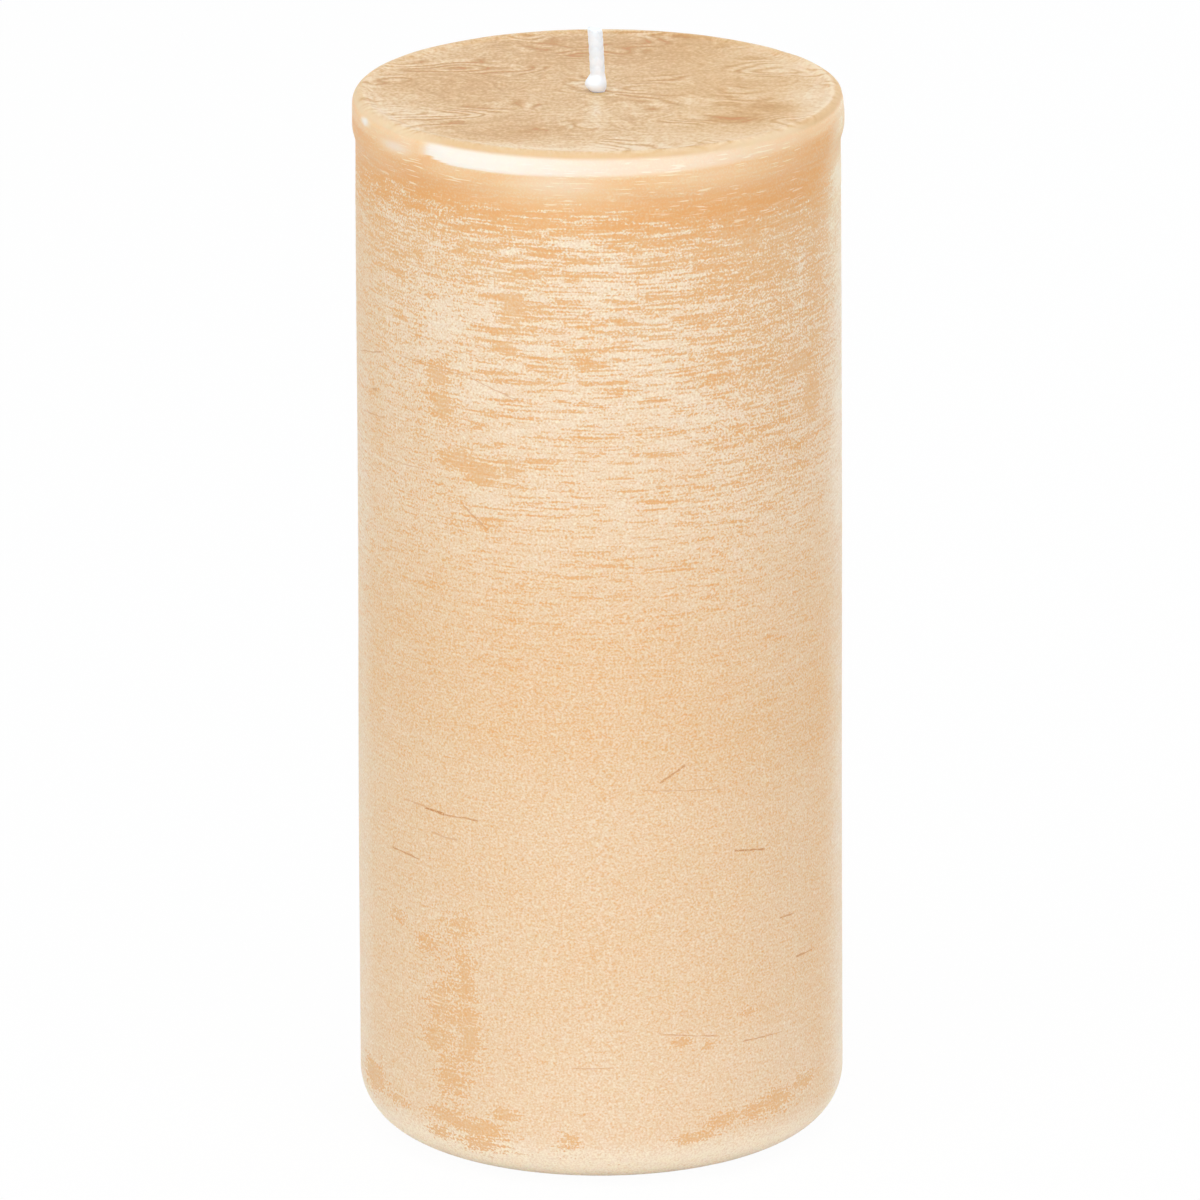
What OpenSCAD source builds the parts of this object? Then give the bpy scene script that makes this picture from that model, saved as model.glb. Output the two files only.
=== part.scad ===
// Rustic pillar candle: one cast block of frosted wax on a rounded foot, with a melted rim that
// stands a little proud of the wall, a braided cotton wick through its middle, and the pressed
// tin tab that grips the wick in the underside.
// Millimetres. The origin is the middle of the foot, and +Z runs up the candle's axis.

/* [Wax body] */
// Diameter of the foot, measured where the drafted wall would meet the table
foot_d = 68.4; // [50:0.1:110]
// Height of the wax, from the table to the top of the rim
candle_h = 150; // [70:1:260]
// How much narrower the radius is at the top than at the foot, so that the block leaves its mould
wall_draft = 0.5; // [0:0.1:2]
// Radius of the rounded edge at the foot
foot_round = 7.5; // [2:0.5:12]

/* [Rim and top face] */
// How far the melted rim stands out from the wall
rim_proud = 0.5; // [0:0.05:1.2]
// Radius of the rim's rounded shoulder
rim_round = 1.4; // [0.8:0.1:2.5]
// Height of the rim's upright side, below the shoulder
rim_side_h = 3; // [1:0.1:5]
// Height over which the wall swells out to that side
rim_swell_h = 2.6; // [1:0.1:8]
// How far the top face lies below the top of the rim
face_drop = 0.25; // [0:0.05:0.6]
// How far the skirt of wax round the wick spreads over the top face
skirt_w = 1.6; // [1:0.1:3]
// How high that skirt climbs the wick
skirt_h = 0.5; // [0.2:0.1:0.9]

/* [Wick] */
// Diameter of the braided wick
wick_d = 2.1; // [1.4:0.1:4]
// Length of wick that stands above the top face
wick_free = 9.2; // [5:0.2:20]
// How far the tip leans towards -X
wick_lean = 0.4; // [0:0.1:2]
// Depth of the grooves between the braid's stitches
braid_groove = 0.15; // [0.05:0.01:0.35]
// Length of one stitch of the braid
stitch = 1.3; // [0.8:0.1:2.5]
// How far the wick bulges towards -X, where wax has soaked into it
wick_bulge = 0.6; // [0:0.05:0.9]
// Length of wick that the bulge takes up
bulge_h = 2; // [1:0.1:4]

/* [Wick tab] */
// Diameter of the pressed tab
tab_d = 15; // [10:0.5:24]
// Thickness of the tab's sheet metal
tab_t = 0.3; // [0.2:0.05:0.6]
// Height of the tab's neck above its disc
neck_h = 5; // [3:0.5:12]
// Inside radius of the bend between the disc and the neck
neck_bend = 0.4; // [0.2:0.1:1]
// Depth of the recess in the foot, up to the face that the tab sits against
recess_h = 1.2; // [0.8:0.1:3]

/* [Fits] */
// Radial clearance between the wick and what it passes through
wick_fit = 0.02; // [0.01:0.01:0.1]
// Clearance round the tab's edge and neck
tab_fit = 0.15; // [0.05:0.05:0.5]

/* [Hidden] */
$fn = 96;

foot_r = foot_d / 2;
wick_r = wick_d / 2;
tab_r = tab_d / 2;
draft_angle = atan(wall_draft / candle_h);
face_z = candle_h - face_drop;

// Radii of the wick's hole, the tab's neck and the hole that takes the neck
hole_r = wick_r + wick_fit;
neck_r = hole_r + tab_t;
neck_hole_r = neck_r + tab_fit;

// The tab's disc lies against the recess's ceiling, and the wick ends level with its underside
tab_z = recess_h - tab_t;

// Room that a cut leaves past the face it opens on
past = 1;

// The braid: columns of V-shaped stitches round the wick, from the skirt's top to the cut end
braid_columns = 4;
braid_sides = 8 * braid_columns;
rings_per_stitch = 6;
stitch_slope = 0.5;
braid_z = face_z + skirt_h;
tip_z = face_z + wick_free;

// Radius of the drafted wall at height z
function wall_r(z) = foot_r - wall_draft * z / candle_h;

// What the rounded foot loses: the block's corner, outside a circle that touches wall and table
module foot_corner() {
    centre = [wall_r(foot_round) - foot_round / cos(draft_angle), foot_round];
    wall_normal = [cos(draft_angle), sin(draft_angle)];
    difference() {
        polygon([
            [centre.x, -past],
            [foot_r + past, -past],
            [foot_r + past, foot_round],
            centre + foot_round * wall_normal,
            centre
        ]);
        translate(centre) circle(r = foot_round);
    }
}

// What the wax climbs up the wick: a skirt whose hollow curve runs out into the top face
module skirt_section() {
    hollow_r = (skirt_w * skirt_w + skirt_h * skirt_h) / (2 * skirt_h);
    difference() {
        translate([0, face_z - skirt_h]) square([hole_r + skirt_w, 2 * skirt_h]);
        translate([hole_r + skirt_w, face_z + hollow_r]) circle(r = hollow_r);
    }
}

// Half-section of the wax, without its holes
module wax_section() {
    rim_r = wall_r(candle_h) + rim_proud;
    shoulder = [rim_r - rim_round, candle_h - rim_round];
    side_z = shoulder.y - rim_side_h;
    swell_z = side_z - rim_swell_h;
    difference() {
        polygon([
            [0, 0],
            [foot_r, 0],
            [wall_r(swell_z), swell_z],
            [rim_r, side_z],
            [rim_r, shoulder.y],
            shoulder,
            [shoulder.x, face_z],
            [0, face_z]
        ]);
        foot_corner();
    }
    translate(shoulder) circle(r = rim_round);
    skirt_section();
}

module wax_body() {
    color([0.93, 0.74, 0.53])
    difference() {
        rotate_extrude() wax_section();
        // Hole for the wick, right through
        translate([0, 0, -past]) cylinder(r = hole_r, h = candle_h + skirt_h + 2 * past);
        // Hole for the tab's neck, with a lead-in over the neck's bend
        cylinder(r = neck_hole_r, h = recess_h + neck_h + tab_fit);
        translate([0, 0, recess_h])
            cylinder(r1 = neck_hole_r + neck_bend, r2 = neck_hole_r, h = neck_bend);
        // Recess for the tab's disc
        translate([0, 0, -past]) cylinder(r = tab_r + tab_fit, h = recess_h + past);
    }
}

// How far the wick's line has leaned over at height z
function lean_at(z) = -wick_lean * pow((z - braid_z) / (tip_z - braid_z), 1.5);

// Runs from 0 to 1 and back across each column of stitches
function zigzag(a) =
    let (turn = a / 360 * braid_columns, part = turn - floor(turn))
    1 - abs(2 * part - 1);

// Swelling at angle a and height z: full on the side towards -X, none on the other
function bulge_at(a, z) =
    let (part = min(1, (z - braid_z) / bulge_h))
    wick_bulge * pow(sin(180 * part), 2) * (1 - cos(a)) / 2;

// Radius of the braid: round stitches with sharp grooves between them, and the swelling
function braid_r(a, z) =
    let (phase = (z - braid_z) / stitch + stitch_slope * zigzag(a))
    wick_r - braid_groove * (1 - sqrt(abs(sin(180 * phase)))) + bulge_at(a, z);

// The wick above the skirt: rings of points joined by triangles, closed at both ends
module braid() {
    rings = ceil((tip_z - braid_z) / stitch * rings_per_stitch);
    step = (tip_z - braid_z) / rings;
    points = [
        for (i = [0 : rings], j = [0 : braid_sides - 1])
            let (z = braid_z + i * step, a = 360 * j / braid_sides, r = braid_r(a, z))
            [lean_at(z) + r * cos(a), r * sin(a), z]
    ];
    sides = [
        for (i = [0 : rings - 1], j = [0 : braid_sides - 1])
            let (low = i * braid_sides, high = low + braid_sides, next = (j + 1) % braid_sides)
            each [[low + j, high + j, high + next], [low + j, high + next, low + next]]
    ];
    bottom = [for (j = [0 : braid_sides - 1]) j];
    top = [for (j = [braid_sides - 1 : -1 : 0]) rings * braid_sides + j];
    polyhedron(points, concat(sides, [bottom, top]));
}

module wick() {
    color([0.96, 0.95, 0.92]) {
        translate([0, 0, tab_z]) cylinder(r = wick_r, h = braid_z - tab_z);
        braid();
    }
}

// Half-section of the tab: sheet of one thickness, a disc that bends up into a neck
module tab_section() {
    bend_r = neck_bend + tab_t;
    bend = [neck_r + neck_bend, recess_h + neck_bend];
    difference() {
        translate([hole_r, tab_z]) square([tab_r - hole_r, bend_r]);
        // Above the disc, and inside the bend
        translate([bend.x, recess_h]) square([tab_r, bend_r]);
        translate(bend) circle(r = neck_bend);
        // The corner outside the bend
        difference() {
            translate([0, tab_z - past]) square([bend.x, bend_r + past]);
            translate(bend) circle(r = bend_r);
        }
    }
    translate([hole_r, bend.y]) square([tab_t, recess_h + neck_h - bend.y]);
}

module wick_tab() {
    color([0.72, 0.73, 0.74]) rotate_extrude() tab_section();
}

wax_body();
wick();
wick_tab();
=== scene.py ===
# %% [markdown]
# # A rustic pillar candle
#
# The candle is one block of peach wax that was poured into a tube mould and cooled quickly, so its
# wall came out frosted: a thin pale film all over, and above it rows of cream flecks that lie like
# brush strokes round the block. The rim and the top were melted smooth afterwards and stayed bare.
# A braided cotton wick runs up the middle, and a small tin tab holds it in the underside.
#
# The imported model is the fixed frame. Everything below is in metres and in that frame, so nothing is moved
# into place at the end.

# %% Load the frame
import math

import bpy
import numpy as np
from mathutils import Matrix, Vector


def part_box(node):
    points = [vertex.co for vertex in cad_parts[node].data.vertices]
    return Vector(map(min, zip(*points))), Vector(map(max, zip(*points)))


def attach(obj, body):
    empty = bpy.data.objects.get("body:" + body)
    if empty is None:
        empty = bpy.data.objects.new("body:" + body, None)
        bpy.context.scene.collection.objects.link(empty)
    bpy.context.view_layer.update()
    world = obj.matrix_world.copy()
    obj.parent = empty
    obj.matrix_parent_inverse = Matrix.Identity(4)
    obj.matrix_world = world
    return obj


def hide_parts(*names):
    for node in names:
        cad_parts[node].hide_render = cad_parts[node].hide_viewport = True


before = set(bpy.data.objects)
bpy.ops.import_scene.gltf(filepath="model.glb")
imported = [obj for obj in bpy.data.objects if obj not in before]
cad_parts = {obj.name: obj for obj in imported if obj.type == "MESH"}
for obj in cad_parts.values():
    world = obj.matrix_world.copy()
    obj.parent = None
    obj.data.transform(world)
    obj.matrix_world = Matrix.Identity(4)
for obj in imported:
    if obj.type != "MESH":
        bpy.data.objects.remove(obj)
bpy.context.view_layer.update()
print("nodes:", ", ".join(sorted(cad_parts)))

# %% [markdown]
# ## Sizes
#
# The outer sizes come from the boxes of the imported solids, and the small ones are repeated here as
# named values: the upright side of the rim with its rounded shoulder, the rounded foot, the skirt of
# wax that climbs the wick, and the recess in the underside. The wall leans in by half a millimetre
# on its way up, because a cast block has to slide out of its mould. The skirt is drawn lower than in
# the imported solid, because the photograph shows hardly any.

# %% Sizes of the candle
MM = 0.001

wall_draft = 0.5 * MM
foot_round = 7.5 * MM
rim_proud = 0.5 * MM
rim_round = 1.4 * MM
rim_side_h = 3.0 * MM
rim_swell_h = 2.6 * MM
face_drop = 0.25 * MM
slope_w = 1.6 * MM
skirt_w = 1.6 * MM
skirt_h = 0.5 * MM
low_skirt_h = 0.15 * MM
wick_d = 2.1 * MM
wick_fit = 0.02 * MM
wick_lean = 0.4 * MM
tab_t = 0.3 * MM
tab_fit = 0.15 * MM
neck_bend = 0.4 * MM

wax_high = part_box("wax_body")[1]
wick_low, wick_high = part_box("wick")
tab_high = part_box("wick_tab")[1]

face_z = wax_high[2] - skirt_h
candle_h = face_z + face_drop
rim_r = wax_high[0]
foot_r = rim_r - rim_proud + wall_draft
hole_r = wick_d / 2 + wick_fit
tab_z = wick_low[2]
recess_h = tab_z + tab_t
recess_r = tab_high[0] + tab_fit
neck_hole_r = hole_r + tab_t + tab_fit
neck_top = tab_high[2] + tab_fit


def wall_r(z):
    """Radius of the drafted wall at height z: the foot's radius less its share of the draft."""
    return foot_r - wall_draft * z / candle_h


print(f"wax {2 * foot_r / MM:.1f} mm across, {candle_h / MM:.1f} mm tall")
print(f"wick tip at {wick_high[2] / MM:.1f} mm")

# %% [markdown]
# ## Camera
#
# The photograph looks down at the candle by about 17 degrees from some two metres away, through a
# long lens, so the sides stay almost parallel. The candle's axis leans a quarter of a degree to the
# left in the picture. That is a slight roll of the camera about its own line of sight, and not a lean
# of the candle.

# %% Camera
camera_distance = 1.954
camera_elevation = math.radians(17.27)
camera_roll = math.radians(-0.23)
aim_height = 75.8 * MM
focal_length_mm = 417.3
sensor_width_mm = 36.0
farthest_seen = 20.0

camera = bpy.data.objects.new("camera", bpy.data.cameras.new("camera"))
bpy.context.scene.collection.objects.link(camera)
camera.data.lens = focal_length_mm
camera.data.sensor_width = sensor_width_mm
camera.data.clip_end = farthest_seen
camera.location = (
    0.0,
    -camera_distance * math.cos(camera_elevation),
    aim_height + camera_distance * math.sin(camera_elevation),
)
tilt = Matrix.Rotation(math.pi / 2 - camera_elevation, 3, "X")
camera.rotation_euler = (tilt @ Matrix.Rotation(camera_roll, 3, "Z")).to_euler()
bpy.context.scene.camera = camera
print("camera at", [round(v, 3) for v in camera.location])

# %% [markdown]
# ## Random but repeatable
#
# Wax cools unevenly, so its surface needs irregular numbers that vary smoothly from place to place.
# A lattice of random numbers does that: each point blends the numbers at the eight corners of its
# cell. It is worked out for all points at once, and a seed makes it the same in every run. The
# lattice is stretched before it is read. Cells that are long sideways and thin upwards give flecks
# that lie round the block, with no seam, because the lattice fills space and isn't wrapped on.

# %% Smooth noise and easing on arrays
TABLE_SIZE = 256
LAYER_WEIGHT = 0.55
LAYER_SHIFT = 17


def lattice_noise(points, seed):
    """Smooth value from -1 to 1 at each point (..., 3), in cells of size 1.

    Each corner of a cell has a random number; they are blended with the weight 3 t^2 - 2 t^3 along
    each axis, where t runs from 0 to 1 across the cell.
    """
    random = np.random.default_rng(seed)
    shuffle = random.permutation(TABLE_SIZE)
    value = random.uniform(-1, 1, TABLE_SIZE)
    cell = np.floor(points).astype(int)
    t = points - cell
    t = t * t * (3 - 2 * t)
    total = np.zeros(points.shape[:-1])
    for corner in np.ndindex(2, 2, 2):
        key = np.zeros(points.shape[:-1], dtype=int)
        weight = np.ones(points.shape[:-1])
        for axis, step in enumerate(corner):
            key = shuffle[(key + cell[..., axis] + step) % TABLE_SIZE]
            weight = weight * (t[..., axis] if step else 1 - t[..., axis])
        total += weight * value[key]
    return total


def layered_noise(points, cell_size, seed, layers=2):
    """Sum of layers of lattice noise: each has cells half as large and counts 0.55 times as much."""
    scaled = points / np.asarray(cell_size)
    weights = LAYER_WEIGHT ** np.arange(layers)
    total = 0
    for k, weight in enumerate(weights):
        total = total + weight * lattice_noise(scaled * 2**k + LAYER_SHIFT * k, seed + k)
    return total / weights.sum()


def ease(low, high, value):
    """0 at low and 1 at high, with 3 t^2 - 2 t^3 between them; low may be the larger of the two."""
    t = np.clip((value - low) / (high - low), 0, 1)
    return t * t * (3 - 2 * t)


print("a noise along a line:", layered_noise(np.linspace([0, 0, 0], [1, 0, 0], 4), 1, seed=1).round(2))

# %% [markdown]
# ## The section of the wax
#
# A turned form is a section carried round an axis. The section here is one closed loop: round the
# foot, up the wall, out to the rim's upright side, over its shoulder, in across the top, up the
# skirt, then down the wick's hole and round the tab's recess. A closed loop carried round the axis
# gives a skin with no pole, no seam and no open edge.
#
# The rows of the wall lie closest where the frosting is strongest, in the upper part. They could be
# spaced evenly, but then half of them would be spent on the smooth lower part.


# %% Curves for the section
def arc(centre, radius, start, end, count):
    """Points on a circle in the plane of radius and height, from angle start to end in degrees."""
    angle = np.radians(np.linspace(start, end, count))
    return np.column_stack([centre[0] + radius * np.cos(angle), centre[1] + radius * np.sin(angle)])


def softened(corners, reach, count=5):
    """A bent line through corners, each replaced by the curve (1-t)^2 A + 2 t (1-t) C + t^2 B.

    C is the corner, and A and B lie a short way before and after it, on the two straight stretches.
    """
    corners = np.asarray(corners, dtype=float)
    way = np.diff(corners, axis=0)
    length = np.linalg.norm(way, axis=1, keepdims=True)
    step = way / length * np.minimum(reach, 0.4 * length)
    before, corner, after = corners[1:-1] - step[:-1], corners[1:-1], corners[1:-1] + step[1:]
    t = np.linspace(0, 1, count)[None, :, None]
    curve = (1 - t) ** 2 * before[:, None] + 2 * t * (1 - t) * corner[:, None] + t**2 * after[:, None]
    return curve.reshape(-1, 2)


def dense_steps(low, high, count, density, samples=2000):
    """count heights from low to high, which lie closest together where density(z) is greatest."""
    z = np.linspace(low, high, samples)
    passed = np.concatenate([[0], np.cumsum(density((z[1:] + z[:-1]) / 2))])
    return np.interp(np.linspace(0, passed[-1], count), passed, z)


def wall_density(z):
    """How close the rows of the wall lie at height z: 2.5 times as close in the frosted upper part."""
    return 1 + 1.5 * ease(78 * MM, 96 * MM, z)


print("a quarter circle in 4 points:", arc((0, 0), 1, 0, 90, 4).round(2).tolist())

# %% Section of the wax
# Rows of points on each stretch
ROWS = {"foot": 30, "wall": 395, "swell": 15, "side": 17, "shoulder": 13, "slope": 8, "face": 58, "skirt": 9}
# The foot's arc in degrees: from the table to where the drafted wall begins
FOOT_START, FOOT_END = -90, -2
soft_corner = 0.15 * MM

shoulder = np.array([rim_r - rim_round, candle_h - rim_round])
side_z = shoulder[1] - rim_side_h
swell_z = side_z - rim_swell_h
foot_centre = np.array([foot_r - foot_round, foot_round])
skirt_r = hole_r + skirt_w
inner_r = shoulder[0] - slope_w

foot = arc(foot_centre, foot_round, FOOT_START, FOOT_END, ROWS["foot"])
foot[:, 0] += (wall_r(foot_round) - foot_r) * np.linspace(0, 1, ROWS["foot"])
wall_z = dense_steps(foot_round, swell_z, ROWS["wall"], wall_density)
wall = np.column_stack([wall_r(wall_z), wall_z])
part = np.linspace(0, 1, ROWS["swell"])[1:-1]
swell_r = wall[-1, 0] + (rim_r - wall[-1, 0]) * ease(0, 1, part)
swell = np.column_stack([swell_r, swell_z + rim_swell_h * part])
side = np.linspace([rim_r, side_z], [rim_r, shoulder[1]], ROWS["side"])[:-1]
over = arc(shoulder, rim_round, 0, 90, ROWS["shoulder"])
part = np.linspace(0, 1, ROWS["slope"])[1:]
slope_r = shoulder[0] + (inner_r - shoulder[0]) * part
slope = np.column_stack([slope_r, candle_h - face_drop * ease(0, 1, part)])
face = np.linspace([inner_r, face_z], [skirt_r, face_z], ROWS["face"])[1:-1]
part = np.linspace(0, 1, ROWS["skirt"])
skirt = np.column_stack([skirt_r - skirt_w * part, face_z + low_skirt_h * part**2])
hidden = softened(
    [
        [hole_r, face_z + low_skirt_h],
        [hole_r, neck_top],
        [neck_hole_r, neck_top],
        [neck_hole_r, recess_h + neck_bend],
        [neck_hole_r + neck_bend, recess_h],
        [recess_r, recess_h],
        [recess_r, 0],
        [foot_centre[0], 0],
    ],
    soft_corner,
)
section = np.vstack([foot, wall[1:], swell, side, over, slope, face, skirt, hidden])
shown_rows = len(section) - len(hidden)
print(f"section of {len(section)} points, {shown_rows} of them on the outside")

# %% [markdown]
# ## Where the frosting lies
#
# Each map is one number for each point of the skin. `cover` says how much of the wall the frost
# hides: the material adds noise to it and lets frost lie where the sum passes one half, so the edges
# of the flecks come out ragged and crisp. `paleness` is how pale the frost is, and `brushed` how far
# the flecks are drawn out sideways. The relief and the colour both read them, so a fleck that looks
# pale also stands out from the wall.
#
# Broad noise alone would put the marks anywhere, so the patches that catch the eye are named, each
# with its place round the candle in degrees from the front, its height, its half width and its half
# height in millimetres, and its strength.

# %% Patches of bare wax
BARE_PATCHES = [
    (-21, 127.8, 2.0, 3.2, 0.8), (-22, 122.0, 1.3, 1.4, 0.8), (-41, 116.2, 2.1, 1.5, 1.0),
    (-40, 112.0, 1.9, 1.8, 1.0), (-54, 122.9, 0.8, 0.6, 0.9), (-35, 104.9, 2.6, 1.6, 1.0),
    (-29, 103.6, 2.2, 1.4, 1.0), (-21, 104.5, 0.9, 1.4, 0.9), (55, 116.2, 2.3, 1.4, 0.9),
    (60, 111.2, 2.3, 3.2, 0.7), (13, 124.0, 1.6, 0.9, 0.7), (-58, 131.0, 6.0, 3.0, 0.25),
    (-57, 35.6, 3.0, 1.2, 0.8), (-36, 36.5, 4.4, 3.2, 0.66), (-45, 33.0, 3.4, 2.4, 0.6),
    (-34, 29.0, 2.3, 5.5, 0.84), (-42, 25.0, 2.2, 3.6, 0.9), (-43, 19.6, 2.6, 2.2, 1.0),
    (-33, 21.5, 2.4, 6.0, 0.92), (-38, 24.0, 4.6, 9.0, 0.56), (-38, 14.5, 3.4, 5.0, 0.72),
    (-70, 9.6, 4.6, 2.6, 1.0), (-57, 8.2, 3.0, 1.2, 0.8), (-40, 8.4, 4.0, 1.4, 0.95),
    (-31, 7.6, 5.0, 1.4, 1.0), (-24, 10.4, 2.6, 1.1, 0.9), (-30, 5.2, 5.0, 1.8, 0.75),
    (-8, 7.0, 2.0, 2.4, 0.6), (-42, 5.6, 3.0, 1.4, 0.7), (19, 21.2, 2.0, 0.8, 0.9),
    (26, 19.9, 1.5, 0.7, 0.9), (37, 23.9, 1.4, 0.8, 0.9), (30, 8.8, 3.4, 1.2, 0.82),
    (39, 9.2, 3.6, 1.6, 0.86), (46, 9.8, 3.8, 2.2, 0.84), (22, 6.9, 4.0, 0.8, 0.78),
    (56, 11.1, 3.4, 1.8, 0.8), (118, 31.0, 3.4, 3.2, 0.8), (126, 24.0, 2.4, 4.6, 0.75),
    (121, 16.0, 4.0, 2.2, 0.6), (150, 92.0, 2.6, 1.5, 1.0), (158, 88.0, 1.6, 2.0, 0.9),
    (-112, 118.0, 2.4, 2.0, 1.0), (-119, 111.0, 1.8, 1.4, 1.0), (-150, 9.0, 6.0, 1.4, 0.9),
    (171, 10.0, 4.0, 1.6, 0.9), (-134, 58.0, 1.8, 3.0, 0.7),
]
print(f"{len(BARE_PATCHES)} bare patches")

# %% Patches of thick cream frosting
CREAM_PATCHES = [
    (-39, 125.2, 4.6, 3.6, 1.0), (-40, 135.1, 1.4, 0.9, 1.0), (-40, 139.8, 0.9, 0.7, 1.0),
    (-58, 137.6, 3.2, 1.3, 0.7), (-21, 135.6, 1.5, 1.7, 0.9), (-8, 137.3, 2.7, 0.8, 1.0),
    (-14, 141.6, 1.3, 0.5, 0.9), (-29, 114.9, 4.8, 1.4, 0.7), (55, 128.4, 0.8, 12.0, 0.8),
    (55, 112.8, 1.2, 2.2, 0.8), (2, 131.0, 5.0, 2.4, 0.7), (14, 119.5, 6.0, 4.0, 0.5),
    (26, 113.0, 6.0, 4.0, 0.5), (-4, 113.0, 8.0, 3.0, 0.4), (18, 131.5, 2.2, 2.0, 0.8),
    (140, 124.0, 5.0, 3.6, 1.0), (-96, 133.0, 3.4, 1.6, 0.9), (-128, 126.0, 4.4, 3.0, 0.9),
    (176, 119.0, 6.0, 2.6, 0.8), (104, 110.0, 5.0, 4.0, 0.6),
]
print(f"{len(CREAM_PATCHES)} cream patches")

# %% [markdown]
# Every map is worked out on the same grid: the section's points in rows, carried round the axis in
# columns. Three helpers cover what the maps need most: the strength of named patches, a stretch of
# bearings that eases in and out, and a ring round the wick. The cells of each noise are given in
# millimetres, and the streaks are read at a place that a slower noise lifts and lowers, so that they
# aren't ruled straight.

# %% Grid of the skin
columns = 168
azimuth = np.linspace(0, 2 * math.pi, columns, endpoint=False)
degrees = np.degrees((azimuth + math.pi) % (2 * math.pi) - math.pi)
off_front = abs(degrees)
ring = np.stack([np.sin(azimuth), -np.cos(azimuth)], axis=-1)
grid_z = np.broadcast_to(section[:, None, 1:], (len(section), columns, 1))
base_points = np.concatenate([section[:, None, :1] * ring[None], grid_z], axis=-1)
height = base_points[..., 2]
radius = np.broadcast_to(section[:, None, 0], height.shape)
level = height / MM


def patches(places):
    """Strength of the strongest patch at each point: a bell exp(-(u^2 + v^2)) over its half sizes."""
    total = np.zeros(height.shape)
    for bearing, middle, half_w, half_h, strength in places:
        turn = (azimuth[None] - math.radians(bearing) + math.pi) % (2 * math.pi) - math.pi
        u = turn * foot_r / (half_w * MM)
        v = (height - middle * MM) / (half_h * MM)
        total = np.maximum(total, strength * np.exp(-(u**2 + v**2)))
    return total


def span(start, full, fading, end):
    """1 between the bearings full and fading, in degrees, and easing to 0 at start and at end."""
    return ease(start, full, degrees) * ease(end, fading, degrees)


def ring_at(middle_mm, half_mm):
    """A ring round the wick: the bell exp(-u^2) of the distance from its middle in half widths."""
    return np.exp(-(((radius - middle_mm * MM) / (half_mm * MM)) ** 2))


print(f"grid of {len(section)} rows and {columns} columns")

# %% Noises of the skin
streak_lift = 0.9 * MM
broad = layered_noise(base_points, (22 * MM, 22 * MM, 9 * MM), seed=21)
cloud = layered_noise(base_points, (6.5 * MM, 6.5 * MM, 3.5 * MM), seed=31)
wave = layered_noise(base_points, (17 * MM, 17 * MM, 12 * MM), seed=71)
wavy_points = base_points + [0, 0, streak_lift] * wave[..., None]
streak = layered_noise(wavy_points, (8 * MM, 8 * MM, 0.50 * MM), seed=11)
print(f"streaks from {streak.min():.2f} to {streak.max():.2f}")

# %% [markdown]
# The wall has four bands from the foot up: a pale foot, a smooth lower part with only a fine grain, a middle
# where strokes begin to show, and a dense upper part of cream flecks. Above it lies the bare band under the
# rim. Each band's start wanders up and down by a millimetre or two. On the right a pale strip runs from the
# foot to the rim, with soft sides. It is painted backlight: paler, frostier wax where a lamp behind would
# light the edge. The foot is made paler still by painted light, the light that the white floor throws up on
# it.

# %% Cover of the frost
# Height in mm, how much the frost covers there, and how pale it is
COVER = np.array([
    (8, 0.90, 0.47), (55, 0.90, 0.47), (66, 0.78, 0.39), (80, 0.70, 0.41), (92, 0.66, 0.49),
    (100, 0.63, 0.57), (110, 0.60, 0.60), (122, 0.55, 0.62), (130, 0.53, 0.62), (136, 0.46, 0.62),
    (139, 0.38, 0.58), (142, 0.26, 0.56), (144, -0.20, 0.56),
])
bare_cover = 0.08

bare = patches(BARE_PATCHES)
cream = patches(CREAM_PATCHES)
to_left = span(-130, -110, -42, -22)
to_right = span(12, 40, 110, 130)
upper = ease(92, 106, level)
# The strip on the right is painted backlight, where a lamp behind would light this edge
painted_backlight = span(63, 82, 84, 115) * (0.92 + 0.5 * cloud)

cover_level = level + 2.5 * to_right + 1.5 * broad
cover, paleness = (np.interp(cover_level, COVER[:, 0], COVER[:, k]) for k in (1, 2))
cover = cover + upper * (0.03 * to_left - 0.08 * to_right + 0.02 * broad + 0.01 * cloud)
cover = cover - bare * (cover - bare_cover) + 0.18 * cream
# The painted backlight strip also gets more frost
cover = cover + (0.20 + 0.45 * ease(134, 142, level)) * painted_backlight
frosted = ease(0.1, 0.5, cover)
print(f"frost covers {(cover[:shown_rows] > 0.5).mean():.0%} of the rows on the outside")

# %% Paleness and strokes of the frost
# Painted light and shade: paler at the foot as the light that the white floor throws up, on the painted
# backlight strip, and as a painted sheen at the far left; darker towards both sides as painted shade
paleness = paleness + 0.14 * cream - 0.02 * upper * to_right - 0.06 * upper * to_left + 0.04 * broad
paleness = paleness + 0.32 * ease(8.0, 3.5, level + broad) + 0.08 * ease(30, 6, level)
paleness = paleness + 0.22 * painted_backlight - 0.05 * span(54, 62, 70, 76)
paleness = paleness - 0.08 * upper * span(-112, -96, -66, -58)
paleness = paleness + 0.14 * span(-100, -84, -76, -67) * ease(120, 105, level)

# How pale the wax is where no frost lies, and how strong and how drawn out the strokes are
# The painted backlight strip also makes the bare wax paler
ground = 0.27 - 0.22 * ease(134, 143, level) + 0.04 * cloud + 0.30 * painted_backlight
brushed = (1 - 0.65 * np.maximum(to_left, to_right)) * (1 - 0.35 * ease(98, 74, level))
stroked = 0.30 + 0.70 * ease(45, 95, level) + 0.40 * ease(90, 50, level) * ease(30, 55, off_front)
print(f"paleness from {paleness.min():.2f} to {paleness.max():.2f}")
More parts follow.
